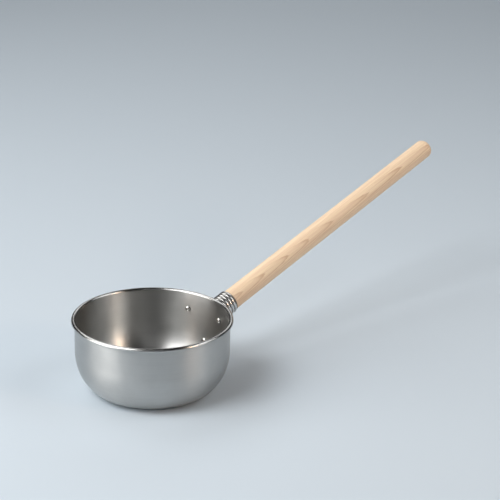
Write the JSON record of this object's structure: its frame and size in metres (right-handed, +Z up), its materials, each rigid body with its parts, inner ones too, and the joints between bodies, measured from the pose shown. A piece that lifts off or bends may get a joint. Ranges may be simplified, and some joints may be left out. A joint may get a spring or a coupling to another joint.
{
  "type": "soup ladle",
  "caption": "Deep steel ladle bowl with a curled lip, a riveted bracket and a ribbed screw socket that holds a long round wooden handle.",
  "frame": {"origin": "centre of the flat underside of the bowl", "axes": "+X from the bowl towards the handle as seen from above, +Z up from the surface that the bowl stands on"},
  "size_m": [0.583, 0.18, 0.1863],
  "materials": {
    "bowl_steel": "satin, spun round the bowl",
    "bracket_steel": "satin",
    "socket_steel": "bright",
    "rivet_steel": "bright",
    "handle_wood": "pale, unvarnished, fine long grain"
  },
  "bodies": {
    "root": {"bowl": "bowl_steel", "handle_bracket": "bracket_steel", "screw_socket": "socket_steel", "wooden_handle": "handle_wood", "rivet_upper_left": "rivet_steel", "rivet_upper_right": "rivet_steel", "rivet_lower": "rivet_steel"}
  },
  "joints": []
}
